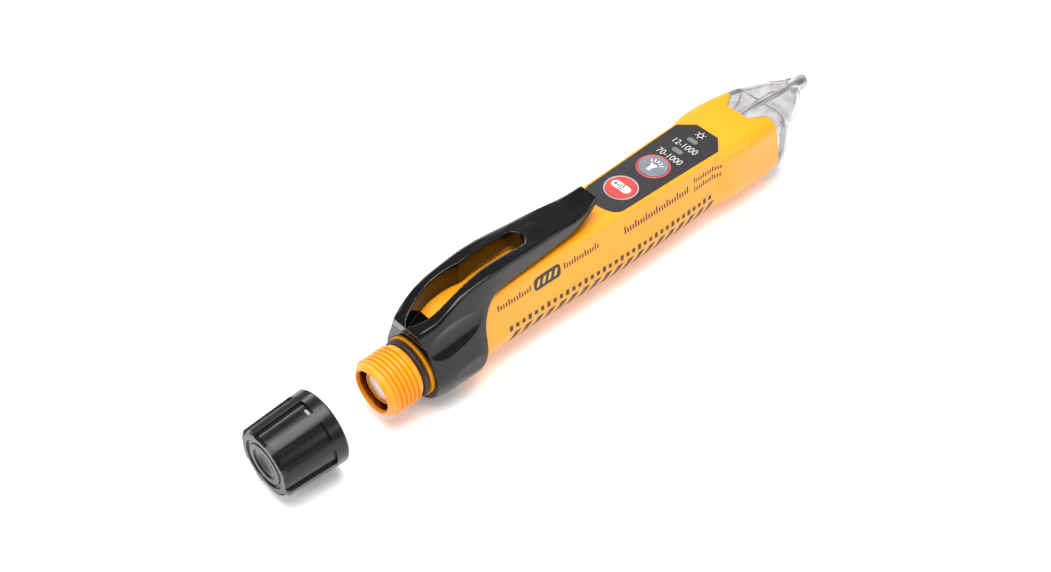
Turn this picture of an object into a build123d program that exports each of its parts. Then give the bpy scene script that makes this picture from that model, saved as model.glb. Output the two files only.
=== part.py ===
"""Pen-type voltage detector with a pocket clip, a torch and an unscrewed tail cap.

The tool's own frame, used by every function below: X runs along the tool, from 0 at the
mouth of the tail to the nib at the nose. Z is up, towards the buttons, and Y is across.
X, Y and Z all start on the axis that the batteries, the tail thread and the cap share.
The finished pieces move together, so that the stored frame stands on the lowest point
of the tool, at the middle of its box.
"""

from build123d import *
import math
import os

# ---------------------------------------------------------------- driving dimensions, mm
# Cells: two AAA in line
CELL_RADIUS = 5.25
CELL_LENGTH = 44.5
CELL_NUB = 1.0             # length of the raised positive end
CELL_RECESS = 2.0          # how far the rear cell lies inside the tail's mouth
BORE_RADIUS = 6.8          # battery bore in the housing
SLEEVE_RADIUS = 6.75
SLEEVE_WALL = 0.35         # sheet metal of the return contact
BORE_END = 93.0

# Tail thread and the neck behind the clip
THREAD_CORE_RADIUS = 8.3
THREAD_CREST_RADIUS = 9.1
THREAD_PITCH = 1.5
THREAD_START = 1.6
THREAD_TURNS = 6
NECK_CHAMFER = 0.9
SEAL_GROOVE_START = 11.6
SEAL_GROOVE_END = 13.9
SEAL_GROOVE_RADIUS = 7.5
FLANGE_RADIUS = 9.4
NECK_END = 17.0

# Cap, unscrewed and lying in line behind the tail
CAP_GAP = 17.0             # from the cap's rim to the tail's mouth
CAP_LENGTH = 20.0
CAP_RIM_RADIUS = 11.6
CAP_END_RADIUS = 10.7
CAP_BORE_RADIUS = 9.3
CAP_BORE_LENGTH = 13.0     # the bore narrows behind the thread
CAP_INNER_RADIUS = 8.4
CAP_THREAD_RADIUS = 8.58
CAP_PLAIN_LENGTH = 3.6     # smooth entry that slides over the sealing ring
CAP_THREAD_TURNS = 5
CAP_WALL_END = 2.4
CAP_SEATED_X = 13.85       # where the rim stops, against the neck's flange
GRIP_POCKETS = 8
GRIP_POCKET_ANGLE = 28.0
GRIP_POCKET_LENGTH = 15.8
GRIP_POCKET_DEPTH = 0.85

# Label, buttons and windows on the flat top
TOP = 15.7                 # height of the flat top above the battery axis
LABEL_REAR = 86.4
LABEL_FRONT = 135.3
LABEL_CHAMFER_X = 4.6
LABEL_CHAMFER_Y = 4.4
LABEL_RECESS = 0.5
DETECT_X = 97.2
TORCH_X = 111.1
BUTTON_RADIUS = 4.75
BEZEL_RADIUS = 5.35
BUTTON_PROUD = 0.45
BUTTON_TRAVEL = 0.5
BUTTON_FLANGE_RADIUS = 5.7
BUTTON_FLANGE_THICKNESS = 0.8
PLUNGER_RADIUS = 1.2
WINDOW_LOW_X = 121.7
WINDOW_HIGH_X = 128.5
WINDOW_LENGTH = 4.0
WINDOW_WIDTH = 1.9

# Head and nose
HEAD_FRONT = 157.0
HEAD_FRONT_SLOPE = 0.15    # the front edge leans back by this much for each mm of height
NOTCH_FLOOR = 149.2
NOTCH_HALF_FLOOR = 4.3
NOTCH_HALF_MOUTH = 7.6
NOTCH_MOUTH = 154.6
NIB_HEIGHT = 10.4
NIB_RADIUS = 2.5
NIB_TIP = 183.2
NIB_ROOT = 177.4              # where the nib's straight pin starts

# Circuit board and what it carries
BOARD_TOP = 10.6
BOARD_THICKNESS = 1.2
BOARD_REAR = 95.0
BOARD_FRONT = 150.0
BOARD_HALF_WIDTH = 7.0
SCREW_PLACES = (103.0, 140.5)
CARRIER_REAR = 99.0
CARRIER_FRONT = 150.5
CARRIER_HALF_WIDTH = 7.2
CARRIER_FLOOR = -3.0

# Torch lamp in the nose
LAMP_RADIUS = 2.5
LAMP_HEIGHT = -1.5
LAMP_REAR = 158.6
LAMP_TIP = 168.0

# Pocket clip
CLIP_REAR = 13.2
CLIP_TIP = 83.6
CLIP_ARM_UNDERSIDE = 17.4
CLIP_SCOOP_RADIUS = 10.0      # of the hollow flanks beside the slot
CLIP_SIDE_FLAT = 12.3         # half the collar's width across its side facets
CLIP_SPLIT = 41.0          # where the springy arm starts to bend
CLIP_SPLIT_GAP = 0.12
SLOT_REAR = 13.4
SLOT_FRONT = 56.6

NOSE_SLEEVE_REAR = 144.0
SEAL_BAND_X = 144.8        # square-cut ring round the sleeve of the nose

WALL = 2.0
FIT = 0.15                 # gap left between pieces that are assembled together

CAP_RIM_X = -CAP_GAP
CAP_END_X = CAP_RIM_X - CAP_LENGTH
LOWEST = 12.7              # the head's underside, below the battery axis
MIDDLE_X = (CAP_END_X + NIB_TIP) / 2


# ---------------------------------------------------------------- small helpers
def at_x(x):
    """Sketch plane across the tool at x: its X is the tool's Y and its Y is the tool's Z."""
    return Plane(origin=(x, 0, 0), x_dir=(0, 1, 0), z_dir=(1, 0, 0))


def tube_x(x0, x1, outer, inner=0.0, z=0.0):
    """Round bar or tube along X."""
    ring = Circle(outer) - Circle(inner) if inner else Circle(outer)
    return extrude(at_x(x0) * Pos(0, z) * ring, x1 - x0)


def box_between(low, high):
    """Plain block from its lowest to its highest corner."""
    size = [b - a for a, b in zip(low, high)]
    middle = [(a + b) / 2 for a, b in zip(low, high)]
    return Pos(*middle) * Box(*size)


def loaf(radius, flat, height, corner):
    """Section of the handle and head: round underside, leaning sides and a flat top.

    radius is the underside's, about the battery axis; flat is half the flat top's width,
    height the flat top's, and corner the radius that joins the top to the sides.
    """
    top_z = height - corner
    span = math.hypot(flat, top_z)
    lean = math.atan2(top_z, flat) - math.acos((radius - corner) / span)
    side = Vector(math.cos(lean), math.sin(lean))
    low = side * radius
    high = Vector(flat, top_z) + side * corner
    mid_angle = (lean + math.pi / 2) / 2
    bend = Vector(flat + corner * math.cos(mid_angle), top_z + corner * math.sin(mid_angle))
    ends = [Vector(flat, height), bend, high, low]
    left = [Vector(-p.X, p.Y) for p in ends]
    wire = [
        ThreePointArc(low, (0, -radius), left[3]),
        Line(left[3], left[2]),
        ThreePointArc(left[2], left[1], left[0]),
        Line(left[0], ends[0]),
        ThreePointArc(ends[0], ends[1], ends[2]),
        Line(ends[2], ends[3]),
    ]
    return make_face(wire)


def loft_loaves(stations, inset=0.0):
    """Skin through sections given as (x, radius, flat, height, corner), shrunk by inset."""
    faces = []
    for x, radius, flat, height, corner in stations:
        inner_corner = max(corner - inset, 0.4)
        moved = corner - inner_corner
        section = loaf(radius - inset, flat + moved - inset, height - inset, inner_corner)
        faces.append(at_x(x) * section)
    return loft(faces)


def flat_half_width(x):
    """Half the width of the flat top, which widens towards the nose."""
    return 4.6 + 0.032 * x


# ---------------------------------------------------------------- housing
def handle_stations():
    """Sections of the grip, from inside the clip's collar to the head."""
    rows = [
        (15.5, 9.6, 3.8, 10.9, 3.6),
        (22.0, 9.9, 4.4, 13.4, 3.2),
        (28.0, 10.2, 5.4, 15.2, 2.6),
        (34.0, 10.1, flat_half_width(34), TOP, 2.1),
        (41.0, 9.9, flat_half_width(41), TOP, 1.8),
        (56.0, 10.1, flat_half_width(56), TOP, 1.5),
        (72.0, 10.8, flat_half_width(72), TOP, 1.3),
        (88.0, 11.4, flat_half_width(88), TOP, 1.2),
        (104.0, 11.6, flat_half_width(104), TOP, 1.2),
        (120.0, 11.4, flat_half_width(120), TOP, 1.2),
        (137.0, 11.1, flat_half_width(137), TOP, 1.2),
    ]
    return rows


def head_stations():
    """Sections of the head, which swells below and beside the label, then tapers."""
    return [
        (124.0, 10.9, 7.4, TOP - 0.5, 2.6),
        (131.0, 11.5, 8.0, TOP - 0.1, 3.1),
        (138.0, 12.5, 8.7, TOP, 3.8),
        (145.0, 12.7, 8.3, TOP, 4.2),
        (151.0, 12.7, 7.7, 15.4, 4.4),
        (157.5, 12.4, 6.9, 14.8, 4.8),
        (160.5, 12.0, 6.4, 14.4, 5.0),
    ]


def helix_ridge(start_x, turns, root, crest, root_half, crest_half):
    """One helical ridge about the battery axis; crest may lie inside or outside root."""
    overlap = 0.08 if crest > root else -0.08
    outline = Polyline(
        (root - overlap, -root_half),
        (crest, -crest_half),
        (crest, crest_half),
        (root - overlap, root_half),
        close=True,
    )
    path = Helix(THREAD_PITCH, THREAD_PITCH * turns, root)
    section = Plane.XZ * make_face(outline)
    ridge = sweep(section, path, is_frenet=True)
    return Pos(start_x, 0, 0) * (Rot(0, 90, 0) * ridge)


def neck():
    """Threaded neck behind the clip, with the groove for the sealing ring and a flange."""
    core = tube_x(0, NECK_END, THREAD_CORE_RADIUS)
    core = chamfer(core.edges().group_by(Axis.X)[0], NECK_CHAMFER)
    core -= tube_x(SEAL_GROOVE_START, SEAL_GROOVE_END, NECK_END, SEAL_GROOVE_RADIUS)
    core += tube_x(SEAL_GROOVE_END, NECK_END, FLANGE_RADIUS)
    ridge = helix_ridge(THREAD_START, THREAD_TURNS, THREAD_CORE_RADIUS,
                        THREAD_CREST_RADIUS, 0.48, 0.18)
    return core + ridge


def label_outline(inset=0.0):
    """Outline of the label on the flat top: chamfered at the front, rounded at the rear."""
    front = LABEL_FRONT - inset
    corner_x = LABEL_FRONT - LABEL_CHAMFER_X - inset * 0.4
    side = flat_half_width(corner_x) - inset
    nose = flat_half_width(corner_x) - LABEL_CHAMFER_Y - inset * 0.4
    tail_x = LABEL_REAR + 5.0
    tail_side = flat_half_width(tail_x) - inset
    shoulder = (LABEL_REAR + 1.9 + inset, tail_side * 0.84)
    rear_x = LABEL_REAR + 0.9 + inset
    rear_y = tail_side * 0.62
    wire = [
        Line((front, -nose), (front, nose)),
        Line((front, nose), (corner_x, side)),
        Line((corner_x, side), (tail_x, tail_side)),
        ThreePointArc((tail_x, tail_side), shoulder, (rear_x, rear_y)),
        ThreePointArc((rear_x, rear_y), (LABEL_REAR + inset, 0), (rear_x, -rear_y)),
        ThreePointArc((rear_x, -rear_y), (shoulder[0], -shoulder[1]), (tail_x, -tail_side)),
        Line((tail_x, -tail_side), (corner_x, -side)),
        Line((corner_x, -side), (front, -nose)),
    ]
    return make_face(wire)


def window_slots(grow, low, high):
    """The two rounded windows as posts between two heights, grown on every side."""
    shape = SlotOverall(WINDOW_LENGTH + 2 * grow, WINDOW_WIDTH + 2 * grow, rotation=90)
    posts = [
        extrude(Pos(x, 0, low) * shape, high - low)
        for x in (WINDOW_LOW_X, WINDOW_HIGH_X)
    ]
    return posts


def nose_side_of_head(clearance=0.0):
    """Block covering everything in front of the head's edge, with its notched top."""
    lean = math.degrees(math.atan(HEAD_FRONT_SLOPE))
    front = Pos(HEAD_FRONT + clearance + 20, 0, 0) * Box(40, 60, 60)
    front = Rot(0, -lean, 0) * (Pos(-HEAD_FRONT, 0, 0) * front)
    front = Pos(HEAD_FRONT, 0, 0) * front
    floor = NOTCH_FLOOR + clearance
    slope = (NOTCH_HALF_MOUTH - NOTCH_HALF_FLOOR) / (NOTCH_MOUTH - NOTCH_FLOOR)
    reach = 12.0
    half_floor = NOTCH_HALF_FLOOR - clearance
    half_far = half_floor + slope * reach
    notch = make_face(Polyline(
        (floor, -half_floor), (floor, half_floor),
        (floor + reach, half_far), (floor + reach, -half_far),
        close=True,
    ))
    return front + extrude(Pos(0, 0, 6) * notch, 20)


def make_housing():
    """Outer casing: threaded neck, grip and head in one moulding, open at both ends."""
    shell = loft_loaves(handle_stations()) + loft_loaves(head_stations()) + neck()
    shell -= nose_side_of_head()
    shell -= tube_x(-1, BORE_END, BORE_RADIUS)
    electronics = loft_loaves(handle_stations(), WALL) & box_between(
        (BORE_END, -20, -20), (133, 20, 20))
    electronics += loft_loaves(head_stations(), WALL)
    shell -= electronics
    cored = box_between((40, -4.0, 9.0), (BORE_END + 1, 4.0, TOP - WALL))
    shell -= cored
    shell -= extrude(Pos(0, 0, TOP - LABEL_RECESS) * label_outline(), 4)
    for x in (DETECT_X, TORCH_X):
        shell -= Pos(x, 0, TOP) * Cylinder(BUTTON_RADIUS + FIT, 8)
    for post in window_slots(FIT / 2, TOP - 4, TOP + 1):
        shell -= post
    return shell


# ---------------------------------------------------------------- nose
def lens_stations():
    """Sections of the clear nose in front of the head, narrowing up to the nib."""
    return [
        (160.5, 0.0, 12.0, 6.4, 14.4, 5.0),
        (164.0, 0.8, 10.6, 5.4, 14.0, 5.0),
        (168.0, 2.6, 8.9, 4.2, 13.6, 4.8),
        (171.5, 4.9, 6.8, 2.8, 13.4, 4.2),
        (174.5, 7.6, 4.6, 1.2, 13.3, 3.4),
        (177.0, 9.8, 3.2, 0.3, 13.4, 2.7),
    ]


def loft_nose(stations, inset):
    """Skin through nose sections given as (x, middle, radius, flat, height, corner)."""
    faces = []
    for x, middle, radius, flat, height, corner in stations:
        section = loaf(radius - inset, flat, height - middle - inset, corner - inset)
        faces.append(at_x(x) * (Pos(0, middle) * section))
    return loft(faces)


def make_nose_lens():
    """Clear nose: a dome with the sensing nib, and a sleeve that plugs into the head."""
    head = [(x, 0.0, r, w, h, c) for x, r, w, h, c in head_stations() if 140 < x < 160]
    outer = loft_nose(head + lens_stations(), 0.0)
    nib = tube_x(174.0, NIB_TIP - NIB_RADIUS, NIB_RADIUS, z=NIB_HEIGHT)
    root = Cone(NIB_RADIUS + 0.33, NIB_RADIUS, 0.5)
    nib += Pos(NIB_ROOT - 0.25, 0, NIB_HEIGHT) * (Rot(0, 90, 0) * root)
    nib += Pos(NIB_TIP - NIB_RADIUS, 0, NIB_HEIGHT) * Sphere(NIB_RADIUS)
    lens = (outer + nib) & nose_side_of_head(FIT)
    sleeve = loft_loaves(head_stations(), WALL + FIT) & box_between(
        (NOSE_SLEEVE_REAR, -20, -20), (159, 20, 20))
    lens += sleeve
    lens -= loft_loaves(head_stations(), WALL + FIT + 1.3)
    lens -= loft_nose(lens_stations()[:5], 1.7)
    lens -= tube_x(NOSE_SLEEVE_REAR - 1, 168.0, 1.5, z=BOARD_TOP + 0.8)
    lens -= tube_x(170.0, NIB_TIP - 1.4, 1.05, z=NIB_HEIGHT)
    lens -= seal_band(0.0)
    return lens


def seal_band(clearance):
    """Square-cut ring in the groove around the nose lens's sleeve."""
    _, radius, flat, height, corner = head_stations()[3]
    sections = [
        loaf(radius - inset, flat, height - inset, corner - inset)
        for inset in (WALL + 0.12, WALL + 0.9)
    ]
    return extrude(at_x(SEAL_BAND_X) * (sections[0] - sections[1]), 1.4 - clearance)


# ---------------------------------------------------------------- pocket clip
def clip_stations():
    """Sections of the clip as if it were solid down to the battery axis."""
    return [
        (13.0, 11.0, 4.0, 16.2, 1.5),
        (17.0, 11.8, 5.4, 18.0, 1.4),
        (22.0, 12.4, 6.2, 20.4, 1.2),
        (28.0, 12.6, 6.1, 22.8, 1.0),
        (32.0, 12.3, 6.1, 23.5, 0.9),
        (37.0, 10.6, 6.2, 24.0, 0.9),
        (42.0, 8.6, 6.2, 24.2, 0.9),
        (50.0, 7.5, 5.9, 23.8, 0.9),
        (61.0, 6.8, 5.3, 22.9, 0.9),
        (71.0, 6.2, 4.8, 21.9, 0.9),
        (77.0, 5.6, 4.2, 21.6, 0.9),
        (80.5, 5.0, 3.6, 22.1, 0.9),
        (84.5, 4.3, 2.9, 23.0, 0.9),
    ]


def clip_side_view():
    """Outline of the clip seen from the side, as a block across the whole tool."""
    far = 30.0
    wire = [
        Polyline((22.0, -16.0), (14.6, -16.0), (14.6, 5.0), (14.3, 11.9),
                 (13.7, 13.2), (CLIP_REAR, 16.0), (CLIP_REAR, far), (CLIP_TIP, far), (CLIP_TIP, 21.4)),
        Spline((CLIP_TIP, 21.4), (80.0, 19.9), (76.5, 18.4), (71.5, CLIP_ARM_UNDERSIDE),
               tangents=((-1, -0.1), (-1, 0))),
        Line((71.5, CLIP_ARM_UNDERSIDE), (CLIP_SPLIT + 1.5, CLIP_ARM_UNDERSIDE)),
        Spline((CLIP_SPLIT + 1.5, CLIP_ARM_UNDERSIDE), (37.0, 15.0), (34.0, 9.5),
               (33.1, 3.0), (31.6, -2.0), (28.6, -7.0), (22.0, -16.0),
               tangents=((-1, 0), (-0.6, -1))),
    ]
    return extrude(Plane.XZ * make_face(wire), 20, both=True)


def clip_scoop(side):
    """Cutter for the hollow flank between one rail and the collar; side is 1 or -1."""
    rear = Vector(11.0, side * 17.2, 13.5)
    front = Vector(32.5, side * 18.7, 16.5)
    along = front - rear
    plane = Plane(origin=rear, z_dir=along)
    return extrude(plane * Circle(CLIP_SCOOP_RADIUS), along.length)


def collar_facets():
    """Long prism whose flats give the round collar its facets."""
    wire = Polyline(
        (-CLIP_SIDE_FLAT, 40), (-CLIP_SIDE_FLAT, -CLIP_SIDE_FLAT * 0.30),
        (-CLIP_SIDE_FLAT * 0.50, -CLIP_SIDE_FLAT * 0.93), (0, -CLIP_SIDE_FLAT * 1.02),
        (CLIP_SIDE_FLAT * 0.50, -CLIP_SIDE_FLAT * 0.93),
        (CLIP_SIDE_FLAT, -CLIP_SIDE_FLAT * 0.30), (CLIP_SIDE_FLAT, 40),
        close=True,
    )
    return at_x(0) * extrude(make_face(wire), 100)


def slot_outline():
    """Long slot in the clip: a V at the rear that widens, then a round front end."""
    radius = 3.2
    middle = SLOT_FRONT - radius
    left = [
        Spline((SLOT_REAR, 0), (18.3, 3.1), (23.0, 4.1), (34.0, 3.45), (middle, radius),
               tangents=((0.7, 1), (1, 0))),
        ThreePointArc((middle, radius), (SLOT_FRONT, 0), (middle, -radius)),
        Spline((middle, -radius), (34.0, -3.45), (23.0, -4.1), (18.3, -3.1), (SLOT_REAR, 0),
               tangents=((-1, 0), (-0.7, 1))),
    ]
    return make_face(left)


def make_clip():
    """The whole clip, which is one moulding: collar, two rails and a springy arm."""
    clip = loft_loaves(clip_stations()) & clip_side_view() & collar_facets()
    for side in (-1, 1):
        clip -= clip_scoop(side)
    clip -= loft_loaves(handle_stations(), -0.1)
    clip -= tube_x(0, NECK_END, FLANGE_RADIUS + 0.1)
    slot = slot_outline()
    clip -= extrude(Pos(0, 0, 13.6) * slot, 20)
    clip -= extrude(slot, 30) & box_between((22.8, -9, 0), (70, 9, 30))
    channel = loft_loaves(clip_stations(), 2.0) & box_between((59, -9, 5), (80, 9, 30))
    return clip - channel


def clip_base_and_arm():
    """The clip parted where it flexes: the fixed collar, and the arm that lifts."""
    clip = make_clip()
    base = clip & box_between((0, -20, -20), (CLIP_SPLIT, 20, 40))
    arm = clip & box_between((CLIP_SPLIT + CLIP_SPLIT_GAP, -20, -20), (90, 20, 40))
    return base, arm


# ---------------------------------------------------------------- tail cap
def cap_outline():
    """Half-section of the cap: tapered outside, dished end and stepped bore."""
    end = CAP_END_X
    step_x = CAP_RIM_X - CAP_BORE_LENGTH
    floor_x = end + CAP_WALL_END
    return make_face([
        ThreePointArc((end + 1.3, 0), (end + 1.1, 1.8), (end + 0.5, 3.4)),
        Polyline(
            (end + 0.5, 3.4), (end + 0.5, 4.6), (end + 0.1, 4.8), (end + 0.1, 6.4),
            (end + 0.5, 6.6), (end + 0.5, 7.6), (end, 7.8), (end, CAP_END_RADIUS - 1.0),
            (end + 1.0, CAP_END_RADIUS), (CAP_RIM_X - 0.5, CAP_RIM_RADIUS),
            (CAP_RIM_X, CAP_RIM_RADIUS - 0.4), (CAP_RIM_X, CAP_BORE_RADIUS + 0.3),
            (CAP_RIM_X - 0.3, CAP_BORE_RADIUS), (step_x, CAP_BORE_RADIUS),
            (step_x, CAP_INNER_RADIUS), (floor_x, CAP_INNER_RADIUS), (floor_x, 0),
            (end + 1.3, 0),
        ),
    ])


def grip_pocket():
    """Cutter for one grip pocket, which runs out through the cap's closed end."""
    taper = (CAP_RIM_RADIUS - CAP_END_RADIUS) / CAP_LENGTH
    floor_rear = CAP_END_RADIUS - GRIP_POCKET_DEPTH
    floor_front = floor_rear + taper * GRIP_POCKET_LENGTH
    front = CAP_END_X + GRIP_POCKET_LENGTH
    outline = make_face(Polyline(
        (CAP_END_X - 1, floor_rear - 1.2), (CAP_END_X + 0.9, floor_rear),
        (front, floor_front), (front + 0.3, 14), (CAP_END_X - 1, 14),
        close=True,
    ))
    return revolve(outline, Axis.X, GRIP_POCKET_ANGLE)


def make_tail_cap():
    """Screw cap: tapered grip with pockets, inner thread and a dished end."""
    cap = revolve(cap_outline(), Axis.X)
    pocket = grip_pocket()
    for i in range(GRIP_POCKETS):
        cap -= Rot(360 / GRIP_POCKETS * i - GRIP_POCKET_ANGLE / 2, 0, 0) * pocket
    seated_shift = CAP_SEATED_X - CAP_RIM_X
    ridge_start = THREAD_START + THREAD_PITCH / 2 - seated_shift
    cap += helix_ridge(ridge_start, CAP_THREAD_TURNS, CAP_BORE_RADIUS, CAP_THREAD_RADIUS,
                       0.3, 0.12)
    return cap


def coil_spring(x0, x1, turns, rear_radius, front_radius, wire):
    """Compression spring along X, tapering if its two radii differ."""
    length = x1 - x0 - 2 * wire
    cone = math.degrees(math.atan((front_radius - rear_radius) / length))
    path = Helix(length / turns, length, rear_radius, cone_angle=cone)
    section = Plane(origin=path @ 0, z_dir=path % 0) * Circle(wire)
    coil = sweep(section, path, is_frenet=True)
    return Pos(x0 + wire, 0, 0) * (Rot(0, 90, 0) * coil)


def make_cap_contact():
    """Sheet-metal disc in the cap, with a turned-up rim that holds the spring."""
    x0 = CAP_END_X + CAP_WALL_END + 0.02
    return tube_x(x0, x0 + 0.5, CAP_INNER_RADIUS - FIT) + tube_x(x0, x0 + 1.2, 5.3, 4.7)


def make_cap_spring():
    """Spring that presses on the rear cell once the cap is screwed on."""
    x0 = CAP_END_X + CAP_WALL_END + 0.56
    return coil_spring(x0, x0 + 7.4, 5, 4.1, 2.8, 0.4)


# ---------------------------------------------------------------- cells and contacts
def make_cell(x0):
    """One AAA cell with its positive nub towards the nose."""
    body = tube_x(x0, x0 + CELL_LENGTH - CELL_NUB, CELL_RADIUS)
    body = fillet(body.edges().filter_by(GeomType.CIRCLE), 0.45)
    body -= tube_x(x0 - 1, x0 + 0.25, 4.3)
    nub_x = x0 + CELL_LENGTH - CELL_NUB - 0.01
    return body + tube_x(nub_x, x0 + CELL_LENGTH, 1.9)


def make_contact_sleeve():
    """Thin metal sleeve that brings the cap's contact forward to the circuit board."""
    return tube_x(1.0, BORE_END - 0.5, SLEEVE_RADIUS, SLEEVE_RADIUS - SLEEVE_WALL)


def make_contact_carrier():
    """Plastic bulkhead that closes the battery bore and holds the front contact."""
    disc = tube_x(95.8, 98.4, 8.6) & box_between((90, -9, -9), (99, 9, 8.4))
    legs = tube_x(BORE_END + 0.05, 95.8, 8.6, 7.2) & box_between((90, -9, -9), (99, 9, 2.0))
    return disc + legs


def make_front_contact():
    """Disc that the front cell's spring stands on, with a tab towards the board."""
    disc = tube_x(95.2, 95.78, 4.2)
    tab = box_between((95.2, -1.0, 3.5), (95.78, 1.0, 9.2))
    return disc + tab


def make_front_spring():
    """Spring under the front cell's positive nub."""
    start = CELL_RECESS + 2 * CELL_LENGTH + 0.05
    return coil_spring(start, 95.15, 3.5, 1.7, 3.0, 0.3)


def make_o_ring():
    """Sealing ring in the neck's groove."""
    section = 0.87
    middle = (SEAL_GROOVE_START + SEAL_GROOVE_END) / 2
    ring = Torus(SEAL_GROOVE_RADIUS + section, section)
    return Pos(middle, 0, 0) * (Rot(0, 90, 0) * ring)


# ---------------------------------------------------------------- label and buttons
def make_label_panel():
    """Black overlay sunk in the flat top, with holes for the buttons and windows."""
    panel = extrude(Pos(0, 0, TOP - LABEL_RECESS) * label_outline(0.1), LABEL_RECESS - 0.05)
    for x in (DETECT_X, TORCH_X):
        panel -= Pos(x, 0, TOP) * Cylinder(BEZEL_RADIUS + 0.04, 4)
    for post in window_slots(FIT / 2, TOP - 4, TOP + 1):
        panel -= post
    return panel


def make_bezel(x):
    """Raised coloured ring round a button."""
    low = TOP - LABEL_RECESS
    ring = Pos(x, 0, low) * extrude(Circle(BEZEL_RADIUS) - Circle(BUTTON_RADIUS + 0.12), 0.68)
    return chamfer(ring.edges().group_by(Axis.Z)[-1], 0.12)


def make_button(x):
    """Round push button with a retaining flange under the housing's wall."""
    top = TOP + BUTTON_PROUD
    flange_top = TOP - WALL - 0.05
    flange_low = flange_top - BUTTON_FLANGE_THICKNESS
    post = Pos(x, 0, flange_low) * extrude(Circle(BUTTON_RADIUS), top - flange_low)
    post = fillet(post.edges().group_by(Axis.Z)[-1], 0.4)
    return post + Pos(x, 0, flange_low) * extrude(
        Circle(BUTTON_FLANGE_RADIUS), BUTTON_FLANGE_THICKNESS)


def make_plunger(x):
    """Switch plunger that the button carries down with it."""
    high = TOP - WALL - 0.05 - BUTTON_FLANGE_THICKNESS - 0.01
    low = BOARD_TOP + BUTTON_TRAVEL + 0.2
    return Pos(x, 0, low) * extrude(Circle(PLUNGER_RADIUS), high - low)


def make_switch(x):
    """Tactile switch body on the board, open for its plunger."""
    body = box_between((x - 3, -3, BOARD_TOP + 0.01), (x + 3, 3, BOARD_TOP + 1.4))
    body -= Pos(x, 0, BOARD_TOP) * Cylinder(PLUNGER_RADIUS + 0.06, 6)
    return chamfer(body.edges().filter_by(Axis.Z), 0.4)


def make_light_window(x):
    """Translucent window over an indicator, with a flange inside the housing."""
    shape = SlotOverall(WINDOW_LENGTH, WINDOW_WIDTH, rotation=90)
    window = extrude(Pos(x, 0, TOP - WALL - 0.20) * shape, WALL + 0.23)
    flange = box_between((x - 1.8, -3, TOP - WALL - 0.80), (x + 1.8, 3, TOP - WALL - 0.20))
    return window + flange


def make_indicator_led(x):
    """Small surface-mounted lamp on the board under its window."""
    base = box_between((x - 1.6, -1.0, BOARD_TOP + 0.01), (x + 1.6, 1.0, BOARD_TOP + 0.7))
    lens = box_between((x - 1.1, -0.9, BOARD_TOP + 0.7), (x + 1.1, 0.9, BOARD_TOP + 1.6))
    return base + lens


# ---------------------------------------------------------------- electronics
def make_board():
    """Circuit board, screwed to its carrier under the label."""
    low = BOARD_TOP - BOARD_THICKNESS
    board = box_between((BOARD_REAR, -BOARD_HALF_WIDTH, low),
                        (BOARD_FRONT, BOARD_HALF_WIDTH, BOARD_TOP))
    board = chamfer(board.edges().filter_by(Axis.Z), 1.5)
    for x in SCREW_PLACES:
        board -= Pos(x, 0, BOARD_TOP) * Cylinder(1.1, 6)
    return board


def make_board_carrier():
    """Open tray that the board lies on, with posts for its two screws."""
    high = BOARD_TOP - BOARD_THICKNESS - 0.01
    half = CARRIER_HALF_WIDTH
    tray = box_between((CARRIER_REAR, -half, CARRIER_FLOOR), (CARRIER_FRONT, half, high))
    tray = chamfer(tray.edges().filter_by(Axis.X).group_by(Axis.Z)[0], 2.0)
    tray -= box_between((CARRIER_REAR + 1.4, -half + 1.3, CARRIER_FLOOR + 1.4),
                        (CARRIER_FRONT - 1.4, half - 1.3, high + 1))
    for x in SCREW_PLACES:
        tray += Pos(x, 0, CARRIER_FLOOR + 1) * extrude(Circle(2.2), high - CARRIER_FLOOR - 1)
        tray -= Pos(x, 0, high) * Cylinder(0.9, 12)
    tray -= tube_x(CARRIER_FRONT - 2, CARRIER_FRONT + 1, 2.0, z=LAMP_HEIGHT + 3)
    return tray


def make_board_screws():
    """The two screws that hold the board."""
    screws = []
    for x in SCREW_PLACES:
        shank = Pos(x, 0, 5.0) * extrude(Circle(0.86), BOARD_TOP - 4.9)
        head = Pos(x, 0, BOARD_TOP + 0.01) * extrude(Circle(1.9), 1.1)
        head = fillet(head.edges().group_by(Axis.Z)[-1], 0.5)
        cross = Box(2.2, 0.5, 1.2) + Box(0.5, 2.2, 1.2)
        screws.append(head + shank - Pos(x, 0, BOARD_TOP + 1.1) * cross)
    return Compound(children=screws)


def make_chip():
    """Controller under the board."""
    high = BOARD_TOP - BOARD_THICKNESS - 0.02
    return box_between((108, -3, high - 1.3), (114, 3, high))


def make_buzzer():
    """Round sounder under the board."""
    high = BOARD_TOP - BOARD_THICKNESS - 0.02
    body = Pos(126, 0, high - 4.0) * extrude(Circle(5.0), 4.0)
    return body - Pos(126, 0, high - 4.0) * Cylinder(0.8, 2)


def make_glow_led():
    """Lamp at the board's front end that lights the clear nose."""
    base = box_between((146.0, -4.6, BOARD_TOP + 0.01), (149.0, -2.6, BOARD_TOP + 0.7))
    return base + box_between((146.4, -4.4, BOARD_TOP + 0.7), (148.6, -2.8, BOARD_TOP + 1.5))


def make_antenna():
    """Sensing strip: a tab on the board, then a rod that runs up into the nib."""
    tab = box_between((146.0, -1.1, BOARD_TOP + 0.01), (150.2, 1.1, BOARD_TOP + 0.5))
    start = Vector(149.6, 0, BOARD_TOP + 0.9)
    bend = Vector(163.0, 0, BOARD_TOP + 0.7)
    knee = Vector(172.5, 0, NIB_HEIGHT)
    tip = Vector(NIB_TIP - 2.0, 0, NIB_HEIGHT)
    path = Polyline(start, bend, knee, tip)
    rod = sweep(Plane(origin=start, z_dir=bend - start) * Circle(0.75), path,
                transition=Transition.ROUND)
    return tab + rod


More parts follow.
